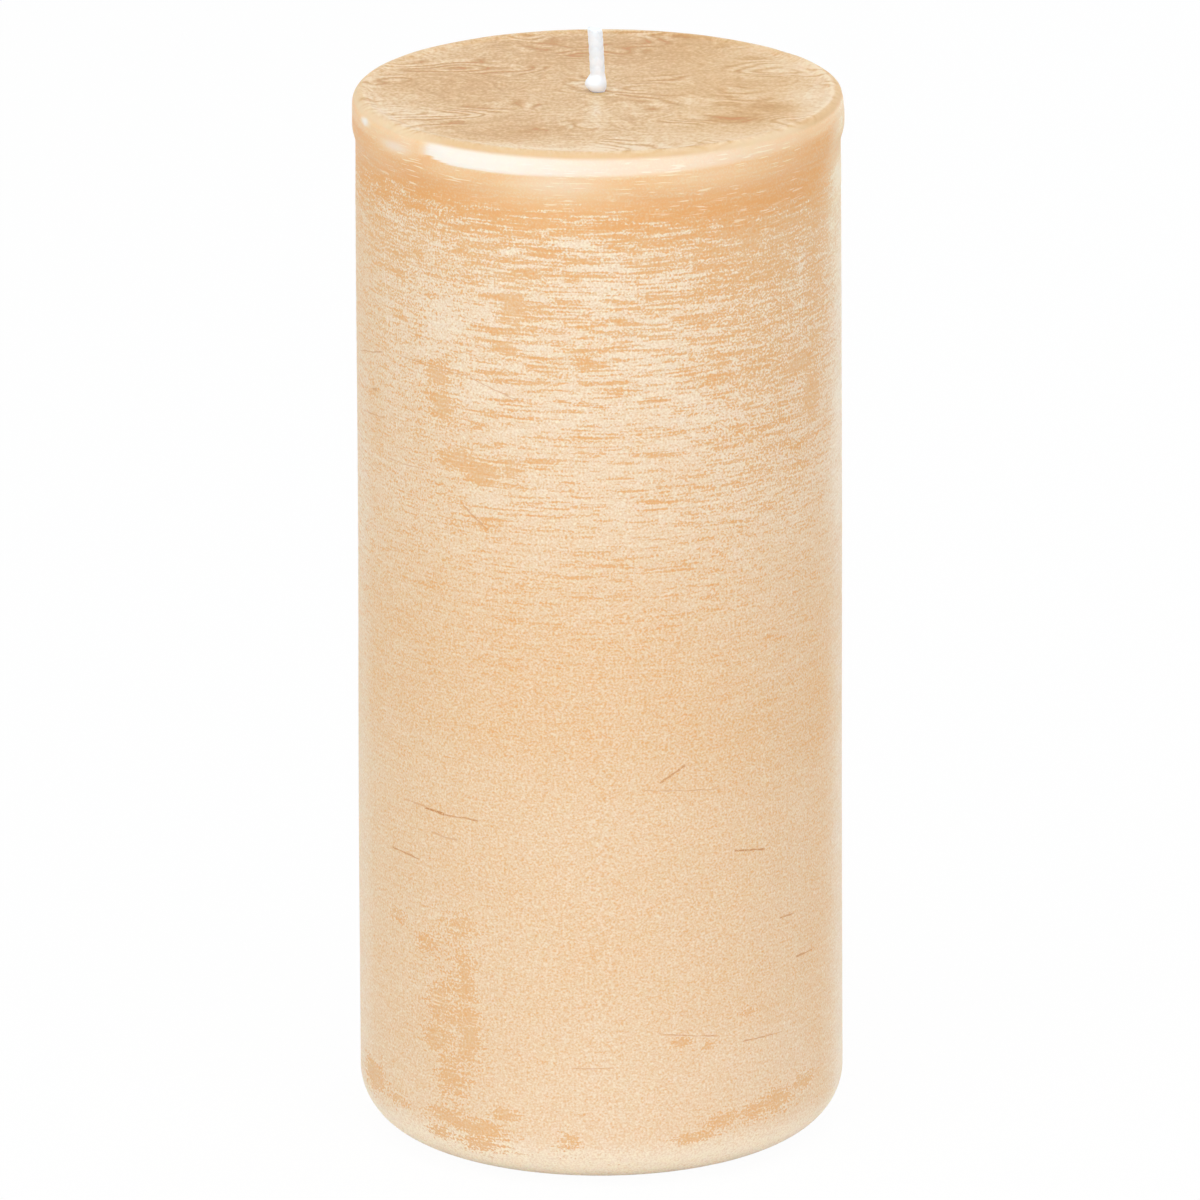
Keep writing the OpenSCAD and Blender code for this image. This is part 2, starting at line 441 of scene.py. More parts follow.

# %% [markdown]
# ## The melted rim
#
# The rim stands half a millimetre proud of the wall, with an upright side. Towards the front that side was
# melted back into a slope, and a white band is painted on it. The band is a painted highlight: the
# reflection of the low soft box in front on the left that the slope would show. The slope is full from 36
# degrees left of the front to 6 degrees right of it, and slight elsewhere. The values are given at a few
# bearings round the rim and blended in between.

# %% Slope and painted highlight of the rim
# Degrees from the front; how far the side is melted back; the painted highlight's lower edge in mm, how soft
# that edge is in mm, and how strong the painted highlight is
RIM = np.array([
    (-180, 0.30, 148.0, 0.8, 0.35),
    (-90, 0.10, 148.0, 0.8, 0.25),
    (-68, 0.35, 147.8, 1.6, 0.46),
    (-50, 0.45, 147.7, 1.7, 0.58),
    (-46, 0.60, 147.6, 1.5, 0.45),
    (-43.5, 0.75, 147.9, 0.5, 0.92),
    (-41, 0.90, 147.3, 0.3, 1.00),
    (-36, 1.00, 147.0, 0.5, 0.98),
    (-20, 1.00, 147.1, 1.0, 0.90),
    (-8, 1.00, 147.3, 1.6, 0.80),
    (6, 1.00, 147.4, 1.8, 0.72),
    (31, 0.65, 147.8, 2.0, 0.66),
    (52, 0.60, 148.2, 2.2, 0.55),
    (76, 0.35, 148.4, 1.6, 0.40),
    (100, 0.30, 148.0, 0.8, 0.35),
    (180, 0.30, 148.0, 0.8, 0.35),
])
# Painted glows and a painted glint on the rim beside the band, given as the patches of the wall are
PAINTED_RIM_GLOWS = [
    (-71, 148.6, 2.2, 0.9, 1.0), (-34, 146.4, 9.0, 2.2, 0.45), (-10, 145.6, 14.0, 3.6, 0.62),
    (26, 146.2, 18.0, 3.0, 0.5), (-12, 141.0, 10.0, 3.0, 0.15), (-55, 147.4, 6.5, 1.5, 0.74),
    (-62, 146.0, 6.0, 3.0, 0.25),
]
melt_start_z = 146.95 * MM
melt_h = 2.15 * MM
melt_depth = 2.1 * MM
rim_inside_r = 33 * MM

melted, highlight_low, highlight_soft, highlight_share = (np.interp(degrees, RIM[:, 0], RIM[:, k]) for k in (1, 2, 3, 4))
climb = np.clip((height - melt_start_z) / melt_h, 0, 1)
inward = melted * melt_depth * (0.13 * climb + 0.20 * climb**2)
inward = inward * ease(inner_r - 1.5 * MM, shoulder[0], radius)

# The pale map is painted light only: the painted highlight band, the painted glows, and the painted
# backlight where it reaches the rim
highlight_band = ease((highlight_low - highlight_soft) * MM, highlight_low * MM, height) * highlight_share
backlight_on_rim = 0.45 * painted_backlight * ease(118, 136, level)
pale = (radius > rim_inside_r) * np.max([highlight_band, patches(PAINTED_RIM_GLOWS), backlight_on_rim], axis=0)
print(f"the rim is melted back by up to {inward.max() / MM:.2f} mm")

# %% [markdown]
# The top's colour changes slowly from place to place: darker round the wick, orange on the right, pale
# towards the front edge, and dark at the right-hand edge with a pale line inside it. The outer edge is
# painted paler at the back and the sides. That is a painted sheen in place of the shine its rough shoulder
# doesn't give. The lumpy lip at the back right is painted paler still, as a painted highlight on its lumps.
# A ring round the wick is painted pale: partly crumbs of wax, partly painted glints on them. These places
# are named too, and everything finer is left to noise.

# %% Zones of the top
# Across and deep from the wick, half sizes, all in mm, and how much paler
TOP_ZONES = [
    (6, 1, 8, 8, -0.16), (18.6, -14.8, 3.6, 1.6, -0.7), (24.0, -8.5, 3.4, 2.6, -0.4),
    (20.5, -11.5, 5.5, 5.5, -0.2), (28.5, -3, 3.2, 6, 0.25), (0, -29, 10, 3, 0.28),
    (-20, 4, 11, 11, -0.22), (4, 20, 16, 8, -0.18), (-20, -16, 4, 2.4, -0.2),
    (17, 4, 7, 7, -0.1), (-0.3, -10, 1.0, 8, 0.35), (-12, -22, 7, 4, -0.12),
    (10, -24, 8, 3, 0.2), (2, 26, 14, 4, -0.2), (-27, -8, 4, 10, 0.16),
    (-8, -20, 6, 3, -0.16), (18, 12, 9, 6, -0.05), (-8, 12, 9, 7, -0.08),
]
x_mm, y_mm = base_points[..., 0] / MM, base_points[..., 1] / MM


def top_zone(x, y, half_w, half_d, lift):
    """lift times the bell exp(-(u^2 + v^2)), across and deep from the zone's middle in half sizes."""
    return lift * np.exp(-(((x_mm - x) / half_w) ** 2) - ((y_mm - y) / half_d) ** 2)


zone = 0.53 + sum(top_zone(*place) for place in TOP_ZONES)
print(f"{len(TOP_ZONES)} zones on the top")

# %% Edge of the top
crumb_glint_size = 0.9 * MM
on_top = ease(candle_h - 1.10 * MM, candle_h - 0.55 * MM, height)
outer_edge = ease(32.4 * MM, 33.9 * MM, radius)
edge = np.maximum(outer_edge, 0.33 * ease(4, 16, x_mm))
right_lip = span(52, 66, 106, 118)
back_lip_glint = span(108, 116, 132, 142)

front_share = 1 - 0.6 * ease(100, 140, off_front)
near_edge = ease(28 * MM, 32 * MM, radius) * front_share
near_edge = near_edge * (1 - 0.8 * ease(32.6 * MM, 33.4 * MM, radius) * ease(42, 60, off_front))
# Painted sheen: the outer edge is paler at the back and sides, where the rough shoulder would otherwise
# shine
edge_sheen = 0.22 - 0.32 * span(-55, -35, 10, 60) - 0.30 * right_lip
zone = zone + 0.20 * near_edge + outer_edge * edge_sheen + 0.30 * ring_at(32.8, 0.25) * right_lip
# Painted highlight on the lumpy lip at the back right
zone = zone + 0.4 * edge * back_lip_glint * (0.6 + cloud)
# Ring round the wick: pale crumbs of wax, partly painted glints on them
zone = zone + 0.7 * ring_at(2.6, 0.35) * ease(0.1, 0.5, lattice_noise(base_points / crumb_glint_size, 81))
print(f"tone of the top from {zone[on_top > 0.5].min():.2f} to {zone[on_top > 0.5].max():.2f}")

# %% [markdown]
# ## Relief
#
# The relief is added along the skin's own outward direction. On the wall each fleck stands proud by
# a few hundredths of a millimetre and the block is a little out of round. The rim swells and thins,
# as melted wax does when it sets. The top is almost flat, with slow waves and a low ring where the
# wax set round the wick.
#
# A bump in the material would be cheaper, but it wouldn't show on the outline, and it wouldn't be part of
# the mesh. The material only adds what is finer than the rows.

# %% Relief of the wax
fleck_h = 0.05 * MM
streak_h = 0.02 * MM
wall_uneven_h = 0.08 * MM
rim_uneven_h = 0.05 * MM
rim_lump_h = 0.07 * MM
back_lump_h = 0.22 * MM
top_wave_h = 0.03 * MM
top_lump_h = 0.02 * MM
wick_ring_h = 0.08 * MM

on_rim = ease(swell_z, side_z + 1 * MM, height) * ease(inner_r, shoulder[0], radius)
on_wall = ease(foot_round * 0.4, foot_round * 1.1, height) * ease(swell_z + 3 * MM, swell_z, height)
shown = (np.arange(len(section)) < shown_rows)[:, None]
clear_of_wick = ease(skirt_r, skirt_r + 1 * MM, radius)

uneven = layered_noise(base_points, (30 * MM, 30 * MM, 45 * MM), seed=41, layers=1)
lumps = layered_noise(base_points, (10 * MM, 10 * MM, 4 * MM), seed=51)
waves = layered_noise(base_points, (9 * MM, 5 * MM, 9 * MM), seed=61)
wick_ring = ring_at(2.7, 0.3) * (0.6 + 0.6 * lattice_noise(base_points / (1.1 * MM), 81))
back_lumps = span(85, 95, 130, 140) * on_rim * ease(face_z - 1 * MM, face_z, height)

relief = on_wall * stroked * fleck_h * ease(0.35, 0.65, cover + 0.3 * brushed * streak)
relief = relief + on_wall * (streak_h * stroked * streak + wall_uneven_h * uneven)
relief = relief + on_rim * (rim_lump_h * lumps + rim_uneven_h * uneven)
relief = relief + back_lumps * back_lump_h * (lumps + 0.3)
relief = relief + on_top * clear_of_wick * (top_wave_h * waves + top_lump_h * lumps)
relief = relief + on_top * wick_ring_h * wick_ring
relief = np.where(shown, relief, 0)
print(f"relief from {relief.min() / MM:.3f} to {relief.max() / MM:.3f} mm")

# %% Points of the wax
along = np.roll(section, -1, axis=0) - np.roll(section, 1, axis=0)
outward = np.column_stack([along[:, 1], -along[:, 0]])
outward = outward / np.linalg.norm(outward, axis=1, keepdims=True)
pushed_r = section[:, None, 0] + outward[:, None, 0] * relief - inward
pushed_z = section[:, None, 1] + outward[:, None, 1] * relief
wax_points = np.concatenate([pushed_r[..., None] * ring[None], np.maximum(pushed_z, 0)[..., None]], axis=-1)
print(f"widest radius {pushed_r.max() / MM:.2f} mm, highest point {pushed_z.max() / MM:.2f} mm")

# %% [markdown]
# ## From a grid of points to a mesh
#
# Both new pieces are rings of points, so one function skins them. The faces turn the same way as the
# section's loop, which makes them point outwards. Ends that stay open are closed with a fan.
#
# The maps go with the wax, one number for each point. The last of them is the gloss: the rim and
# bare wax shine, frosted wax is dull, and the shine fades towards both sides.


# %% Skin a grid
def skin(name, rings, loop):
    """Mesh through rings, an array (rows, columns, 3), whose rows each close round.

    With loop, the last row joins the first. Without it, each end is closed by triangles that meet in
    the middle of its ring.
    """
    rows, count = rings.shape[:2]
    index = np.arange(rows * count).reshape(rows, count)
    here = index if loop else index[:-1]
    there = np.roll(index, -1, axis=0) if loop else index[1:]
    quads = np.stack([here, np.roll(here, -1, 1), np.roll(there, -1, 1), there], axis=-1)
    faces = quads.reshape(-1, 4).tolist()
    vertices = rings.reshape(-1, 3)
    if not loop:
        vertices = np.vstack([vertices, rings[[0, -1]].mean(axis=1)])
        first, last = np.full(count, rows * count), np.full(count, rows * count + 1)
        faces += np.stack([first, np.roll(index[0], -1), index[0]], axis=-1).tolist()
        faces += np.stack([last, index[-1], np.roll(index[-1], -1)], axis=-1).tolist()
    mesh = bpy.data.meshes.new(name)
    mesh.from_pydata(vertices, [], faces)
    mesh.shade_smooth()
    piece = bpy.data.objects.new(name, mesh)
    bpy.context.scene.collection.objects.link(piece)
    print(f"{name}: {len(vertices)} points, {sum(len(f) - 2 for f in faces)} triangles")
    return piece


def remember(piece, **maps):
    """Store each map as one number for each point of the piece, for its material to read by name."""
    for name, values in maps.items():
        stored = piece.data.attributes.new(name, "FLOAT", "POINT")
        every = np.broadcast_to(values, height.shape)
        stored.data.foreach_set("value", np.ascontiguousarray(every, dtype=np.float32).ravel())


# %% Wax piece
gloss = np.maximum(on_rim, 1 - frosted) * (1 - on_top)
gloss = gloss * (1 - 0.9 * ease(48, 62, degrees)) * (1 - 0.6 * ease(-50, -64, degrees))

wax = skin("wax", wax_points, loop=True)
remember(wax, cover=cover, paleness=paleness, ground=ground, brushed=brushed, stroked=stroked, streak=streak)
# The pale map holds the rim's painted highlight and painted glows
remember(wax, pale=pale, top=on_top, zone=zone, edge=edge, gloss=gloss)
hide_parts("wax_body")
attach(wax, "root")
print("maps on the wax:", ", ".join(a.name for a in wax.data.attributes if a.data_type == "FLOAT"))

# %% [markdown]
# ## The wick
#
# A square braid shows columns of V-shaped stitches. The free end leans a little, is soaked with wax
# and swollen where it leaves the block, and was cut slightly askew. The wax that it was dipped in
# fills the grooves almost to the top, so the braid only shows as a soft unevenness. One function of
# the angle and the height gives the radius. The stretch inside the wax is plain, because nothing
# shows it.

# %% Form of the wick
stitch = 1.3 * MM
braid_groove = 0.07 * MM
yarn_groove = 0.012 * MM
stitch_slope = 0.5
braid_columns = 4
yarns = 5
wick_bulge = 0.75 * MM
bulge_h = 2.5 * MM
bulge_all_round = 0.22
wick_r = wick_d / 2
braid_z = face_z + low_skirt_h
tip_z = wick_high[2]


def zigzag(angle, count):
    """Runs from 0 to 1 and back, count times round the wick, with rounded turns."""
    return (1 - np.cos(count * angle)) / 2


def wick_line(z):
    """How far the wick's middle has moved towards -X at height z: the share of the way, to the power 1.5."""
    share = np.clip((z - braid_z) / (tip_z - braid_z), 0, 1)
    return -wick_lean * share**1.5


def braid_radius(angle, z):
    """Crowns |sin|^0.5 along each slanted stitch, less yarn lines across it, plus the swelling.

    The swelling rises and falls like a sine to the power 1.5, and is fullest on the side towards -X.
    """
    phase = (z - braid_z) / stitch + stitch_slope * zigzag(angle, braid_columns)
    crown = np.sqrt(np.abs(np.sin(math.pi * phase)))
    yarn = np.abs(np.sin(math.pi * yarns * (phase * 0.5 + 2 * zigzag(angle, braid_columns))))
    share = np.clip((z - braid_z) / bulge_h, 0, 1)
    swelling = np.maximum(np.sin(math.pi * share**0.75), 0) ** 1.5
    bulge = wick_bulge * swelling * (bulge_all_round + (1 - bulge_all_round) * zigzag(angle, 1))
    return wick_r - (1 - swelling) * (braid_groove * (1 - crown) + yarn_groove * (1 - yarn)) + bulge


print(f"{(tip_z - face_z) / MM:.1f} mm of wick above the top face")

# %% Wick piece
wick_columns = 96
free_rows = 260
hidden_rows = 11
cut_slope = 0.14
slanted_end = 2.0 * MM
rounded_end = 0.12 * MM
# The rounded cut end: radius as a share of the wick's, and rise in mm
TIP = np.array([(0.97, 0.05), (0.90, 0.09), (0.76, 0.115), (0.50, 0.12), (0.22, 0.12)])

wick_angle = np.linspace(0, 2 * math.pi, wick_columns, endpoint=False)[None]
hidden_z = np.linspace(tab_z, braid_z, hidden_rows + 1)[:-1, None]
free_z = np.linspace(braid_z, tip_z - rounded_end, free_rows)[:, None]
plain = np.full((hidden_rows, wick_columns), wick_r)
radii = np.vstack([plain, braid_radius(wick_angle, free_z)])
radii = np.vstack([radii, radii[-1] * TIP[:, :1]])
wick_z = np.vstack([hidden_z, free_z, free_z[-1] + TIP[:, 1:] * MM])
wick_x = wick_line(wick_z) + radii * np.cos(wick_angle)
wick_y = radii * np.sin(wick_angle)
near_tip = ease(tip_z - slanted_end, tip_z, wick_z)
askew = -near_tip * cut_slope * np.maximum(wick_x - wick_line(wick_z) + wick_r, 0)
wick = skin("braided_wick", np.stack([wick_x, wick_y, wick_z + askew], axis=-1), loop=False)
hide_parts("wick")
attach(wick, "root")
print(f"thickest {2 * radii.max() / MM:.2f} mm, at the swelling")

# %% [markdown]
# ## Shaders as expressions
#
# A material is a graph of nodes, which reads badly when it is written node by node. `Value` wraps
# one output, so that `1 - mask` or `a * b + c` adds the Math nodes by itself. `Shader.node` adds any
# other node from its type, its settings and its inputs. Colours are mixed with the Mix node, because
# a Math node would turn them grey.


# %% A value that adds its own Math nodes
class Value:
    """One output of a shader's node. Arithmetic on it adds Math nodes and gives a new Value."""

    def __init__(self, shader, socket):
        self.shader = shader
        self.socket = socket

    def math(self, operation, *others):
        """A Math node with this value first and the others after it."""
        inputs = dict(enumerate((self, *others)))
        return self.shader.node("ShaderNodeMath", {"operation": operation}, inputs)

    def __add__(self, other):
        return self.math("ADD", other)

    def __sub__(self, other):
        return self.math("SUBTRACT", other)

    def __rsub__(self, other):
        return self.shader.node("ShaderNodeMath", {"operation": "SUBTRACT"}, {0: other, 1: self})

    def __mul__(self, other):
        return self.math("MULTIPLY", other)

    def __abs__(self):
        return self.math("ABSOLUTE")

    __radd__ = __add__
    __rmul__ = __mul__


# %% A shader that adds nodes
class Shader:
    """A graph of nodes: a material's, unless a tree is given."""

    def __init__(self, name, tree=None):
        if tree is None:
            self.material = bpy.data.materials.new(name)
            self.material.use_nodes = True
            tree = self.material.node_tree
        self.name = name
        self.tree = tree
        self.tree.nodes.clear()

    def node(self, kind, settings=None, inputs=None, output=0):
        """Add a node: set its settings, then its inputs, and return one output as a Value."""
        made = self.tree.nodes.new(kind)
        for key, setting in (settings or {}).items():
            setattr(made, key, setting)
        for key, given in (inputs or {}).items():
            socket = made.inputs[key]
            if isinstance(given, Value):
                self.tree.links.new(given.socket, socket)
            else:
                socket.default_value = given
        return Value(self, made.outputs[output])

    def place(self):
        """Place on the object, in metres."""
        return self.node("ShaderNodeTexCoord", output="Object")

    def stored(self, name):
        """A number that the mesh stores for each point."""
        return self.node("ShaderNodeAttribute", {"attribute_name": name}, output="Fac")

    def vector(self, operation, *vectors, output=0):
        """Vector Math on two or three vectors."""
        return self.node("ShaderNodeVectorMath", {"operation": operation}, dict(enumerate(vectors)), output)

    def noise(self, place, cell_size, detail=2.0, roughness=0.5, output="Fac"):
        """Noise from 0 to 1, with cells of the given size in millimetres along X, Y and Z."""
        scaled = self.vector("MULTIPLY", place, tuple(1 / (size * MM) for size in cell_size))
        inputs = {"Vector": scaled, "Scale": 1.0, "Detail": detail, "Roughness": roughness}
        return self.node("ShaderNodeTexNoise", {"noise_dimensions": "3D"}, inputs, output)

    def ease(self, low, high, value):
        """0 at low and 1 at high, smooth between them."""
        inputs = {"Value": value, "From Min": low, "From Max": high}
        return self.node("ShaderNodeMapRange", {"interpolation_type": "SMOOTHSTEP"}, inputs)

    def mix(self, factor, first, second):
        """The colour first where factor is 0, and second where it is 1."""
        settings = {"data_type": "RGBA", "clamp_factor": True}
        return self.node("ShaderNodeMix", settings, {0: factor, 6: first, 7: second}, output=2)

    def tints(self, value, stops):
        """A colour for each value: stops lists (value, colour), and between two of them they blend."""
        colour = stops[0][1]
        for (low, _), (high, tint) in zip(stops, stops[1:]):
            inputs = {"Value": value, "From Min": low, "From Max": high}
            colour = self.mix(self.node("ShaderNodeMapRange", None, inputs), colour, tint)
        return colour

    def bump(self, height_mm):
        """The surface's direction, bent by a height in millimetres."""
        inputs = {"Strength": 1.0, "Distance": MM, "Height": height_mm}
        return self.node("ShaderNodeBump", None, inputs, output="Normal")

    def finish(self, surface, kind="ShaderNodeOutputMaterial"):
        """Join the surface to the output."""
        output = self.tree.nodes.new(kind)
        self.tree.links.new(surface.socket, output.inputs["Surface"])
        print(f"{self.name}: {len(self.tree.nodes)} nodes")


# %% Colours as they are seen
def rgb(red, green, blue):
    """A colour as it is seen on screen, 0 to 255, turned into the linear numbers that light needs.

    Below 0.04045 it is c / 12.92, and above that ((c + 0.055) / 1.055) ^ 2.4.
    """
    seen = np.array([red, green, blue]) / 255
    linear = np.where(seen <= 0.04045, seen / 12.92, ((seen + 0.055) / 1.055) ** 2.4)
    return (*linear.tolist(), 1.0)


print("peach wax in linear numbers:", [round(v, 3) for v in rgb(236, 173, 108)])

# %% [markdown]
# ## Wax
#
# Under the frosting the wax is a clear warm peach that light enters and spreads in. The more frost
# lies on it, the paler, duller and chalkier it looks, so one number, `frost`, sets the colour and
# the roughness together. The long streaks come from the mesh, so they match its relief. Short dashes
# and a fine grain, which are smaller than the mesh's rows, are added here.

# %% Wax colour
shader = Shader("peach_wax")
place = shader.place()
# The stored pale map is the rim's painted highlight
names = ("cover", "paleness", "ground", "brushed", "stroked", "streak", "pale", "gloss")
stored = (shader.stored(name) for name in names)
cover_map, paleness_map, ground_map, brushed_map, stroked_map, streak_map, pale_map, gloss_map = stored

dashes = shader.noise(place, (2.2, 2.2, 0.44), detail=1.0)
grain = shader.noise(place, (0.30, 0.30, 0.27), detail=1.0)
threads = shader.noise(place, (5.5, 5.5, 0.32), detail=0.0)
blotch = shader.noise(place, (1.5, 1.5, 1.0), detail=1.0)

# Streaks and threads where the wall is brushed, blotches and a stronger grain where it isn't
ragged = brushed_map * (0.24 * streak_map + 0.75 * (threads - 0.5)) + 0.55 * (dashes - 0.5)
ragged = ragged + (1.30 - 0.70 * brushed_map) * (grain - 0.5) + (1 - brushed_map) * 0.35 * (blotch - 0.5)
frost_mask = shader.ease(0.38, 0.64, cover_map + ragged)
soft = stroked_map * (0.25 * (dashes - 0.5) + 0.25 * (threads - 0.5) + 0.05 * streak_map)
speckle = (0.70 + 0.50 * frost_mask) * (grain - 0.5)
frost = ground_map + frost_mask * (paleness_map - ground_map) + soft + speckle
colour = shader.tints(
    frost,
    [
        (0.0, rgb(236, 173, 108)),
        (0.25, rgb(235, 192, 144)),
        (0.5, rgb(239, 209, 174)),
        (0.75, rgb(246, 224, 200)),
        (1.0, rgb(255, 238, 214)),
    ],
)
print("wax: colour from the stored maps, dashes, threads, blotches and grain")

# %% [markdown]
# Some marks are single strokes: a crack low on the left, a gouge in the middle, short dashes on the
# right and a few fine dark lines. Each is a thin bar with soft ends on the unrolled wall. How far a
# point lies along it and across it comes from two dot products, and noise roughens its edge.

# %% Places of the single strokes
# Both ends as degrees from the front and height in mm, half width in mm, strength
DARK_STROKES = [
    (-54, 53.1, -46, 53.2, 0.12, 0.5), (-46, 53.0, -40, 52.8, 0.26, 1.0),
    (-40, 52.8, -30, 52.9, 0.14, 0.8), (-59, 45.3, -48, 45.1, 0.18, 0.8),
    (-44, 49.6, -36, 49.4, 0.20, 0.5), (14, 59.5, 20, 61.7, 0.22, 0.8),
    (33, 48.1, 42, 47.3, 0.20, 0.9), (9, 58.6, 29, 57.6, 0.08, 0.6),
    (13, 22.8, 29, 21.3, 0.10, 0.7), (35, 19.8, 48, 19.5, 0.12, 0.7),
    (47, 36.5, 52, 36.3, 0.16, 0.8), (53, 29.8, 60, 29.6, 0.16, 0.8),
    (-33.6, 98.3, -27, 95.3, 0.20, 0.6), (34.0, 90.3, 34.2, 90.3, 0.14, 1.0),
    (-7, 18.0, 3, 18.0, 0.12, 0.6), (-79, 114.4, -62, 116.8, 0.14, 0.6),
    (-56, 117.6, -32, 117.0, 0.10, 0.5), (-32, 117.0, -19, 114.5, 0.11, 0.6),
    (-60, 101.9, -44, 102.3, 0.10, 0.5), (-76, 106.2, -61, 107.5, 0.12, 0.5),
    (-68, 110.6, -66, 110.8, 0.3, 0.7),
]
print(f"{len(DARK_STROKES)} single strokes")

# %% Single strokes on the wall
flat_x, flat_y, flat_z = (
    shader.node("ShaderNodeSeparateXYZ", None, {0: place}, output=axis) for axis in "XYZ"
)
unrolled = shader.node(
    "ShaderNodeCombineXYZ",
    None,
    {0: flat_x.math("ARCTAN2", -1.0 * flat_y) * foot_r, 1: flat_z, 2: 0.0},
)
wobble = (dashes - 0.5) * 0.5 * MM


def stroke_mask(left_deg, left_z, right_deg, right_z, half_w, strength):
    """strength inside a bar between two places on the unrolled wall, and 0 outside, with soft sides."""
    left = np.array([math.radians(left_deg) * foot_r, left_z * MM, 0])
    right = np.array([math.radians(right_deg) * foot_r, right_z * MM, 0])
    half_w = half_w * MM
    half_length = np.linalg.norm(right - left) / 2 + half_w
    direction = (right - left) / np.linalg.norm(right - left)
    across_direction = np.array([-direction[1], direction[0], 0])
    offset = shader.vector("SUBTRACT", unrolled, tuple((left + right) / 2))
    along_it = shader.vector("DOT_PRODUCT", offset, tuple(direction), output="Value")
    across_it = shader.vector("DOT_PRODUCT", offset, tuple(across_direction), output="Value") + wobble
    mask = shader.ease(half_length, 0.85 * half_length, abs(along_it))
    return mask * shader.ease(half_w, 0.4 * half_w, abs(across_it)) * strength


cracks = stroke_mask(*DARK_STROKES[0])
for stroke in DARK_STROKES[1:]:
    cracks = cracks.math("MAXIMUM", stroke_mask(*stroke))
cracks = cracks * shader.ease(0.34, 0.50, grain)
colour = shader.mix(cracks, colour, rgb(212, 148, 92))
print(f"peach_wax so far: {len(shader.tree.nodes)} nodes")

# %% [markdown]
# The bare band under the rim carries fine pale scratches: the peaks of a noise that is stretched sideways.
# The rim's painted highlight and painted glows are mixed in last, cream where they are weak and nearly white
# where they are strong.


# %% Surface of the wall
def waxen(shader, colour, roughness, coat, height_mm):
    """The wax itself: light goes a few millimetres into it, red light the deepest."""
    return shader.node(
        "ShaderNodeBsdfPrincipled",
        {"subsurface_method": "RANDOM_WALK"},
        {
            "Base Color": colour,
            "Roughness": roughness,
            "IOR": 1.44,
            "Specular IOR Level": 0.35,
            "Subsurface Weight": 0.35,
            "Subsurface Radius": (1.0, 0.55, 0.3),
            "Subsurface Scale": 4 * MM,
            "Coat Weight": coat,
            "Coat Roughness": 0.15,
            "Normal": shader.bump(height_mm),
        },
    )


slivers = shader.noise(place, (2.6, 2.6, 0.22), detail=0.0)
only_here = shader.ease(0.44, 0.56, shader.noise(place, (5.0, 5.0, 2.6), detail=1.0))
scratches = shader.ease(0.64, 0.74, slivers) * only_here * gloss_map
colour = shader.mix(scratches * 0.8, colour, rgb(253, 232, 202))
# Painted highlight of the rim, cream where weak and nearly white where strong
highlight_white = shader.mix(shader.ease(0.42, 0.85, pale_map), rgb(255, 235, 197), rgb(251, 245, 237))
colour = shader.mix(pale_map * 0.92, colour, highlight_white)

dull = 1 - gloss_map
roughness = 0.34 + dull * (0.24 + 0.10 * frost)
wall_surface = waxen(shader, colour, roughness, gloss_map * 0.25, 0.018 * dashes + 0.018 * grain)
print(f"peach_wax so far: {len(shader.tree.nodes)} nodes")

# %% [markdown]
# The top was melted and set again. Fine wavy lines run across it, sharper wrinkles lie in patches
# where the surface puckered as it set, and broader clouds lie under both. Bending the place by a
# slow noise before the lines are read makes them swirl, and the wrinkles follow the contours of
# another slow noise. The top is a surface of its own, mixed in by the stored map, so that the
# renderer only works out the noises of the side that it sees.

# %% Marks of the top
top_map, zone_map, edge_map = (shader.stored(name) for name in ("top", "zone", "edge"))
contours = 17
bend_reach = 30 * MM
bend = shader.noise(place, (15, 11, 15), detail=1.0, output="Color")
bent = shader.vector("MULTIPLY_ADD", bend, (bend_reach, bend_reach, 0), place)
lines = shader.noise(bent, (3.6, 0.62, 4.0), detail=1.0)
slow = shader.noise(place, (24, 14, 9), detail=2.0, roughness=0.55)
wrinkled = shader.ease(0.46, 0.60, shader.noise(place, (10, 8, 9), detail=1.0))
wrinkles = (abs((slow * (math.pi * contours)).math("SINE")) - 0.7) * wrinkled
fine = shader.noise(place, (0.5, 0.8, 1.0), detail=1.0)
hairs = shader.noise(place, (8.0, 0.5, 4.0), detail=0.0)
marks = 0.85 * (lines - 0.5) + 0.80 * wrinkles + 0.25 * (hairs - 0.5) + 0.95 * (fine - 0.5)
marks = marks + 0.5 * (slow - 0.5)
print("top: lines, wrinkles, hairs and fine grain")

# %% Surface of the top
quiet = 1 - 0.92 * edge_map
top_tone = zone_map + marks * quiet
top_colour = shader.tints(
    top_tone,
    [
        (-0.3, rgb(204, 138, 78)),
        (0.0, rgb(202, 152, 95)),
        (0.3, rgb(214, 170, 117)),
        (0.6, rgb(229, 193, 147)),
        (1.0, rgb(244, 220, 188)),
    ],
)
top_roughness = 0.34 + 0.12 * lines + 0.25 * edge_map
top_surface = waxen(shader, top_colour, top_roughness, 0.0, (0.020 * lines + 0.045 * wrinkles) * quiet)
shader.finish(shader.node("ShaderNodeMixShader", None, {0: top_map, 1: wall_surface, 2: top_surface}))
wax.data.materials.append(shader.material)

# %% [markdown]
# ## Cotton and tin
#
# The wick is bleached cotton dipped in clear wax, so it is nearly white, slightly shiny, and lets some light
# through. It is also tinted slightly blue and given a faint blue-white glow. Both are painted light that
# offsets the warm light the wax throws on it, and keeps it white beside the warm wax. The tab is thin
# tinplate with the faint grain that rolling leaves.

# %% Cotton material
shader = Shader("waxed_cotton")
place = shader.place()
fibre = shader.noise(place, (0.16, 0.16, 0.7))
shade = shader.noise(place, (1.2, 1.2, 1.6), detail=1.0)
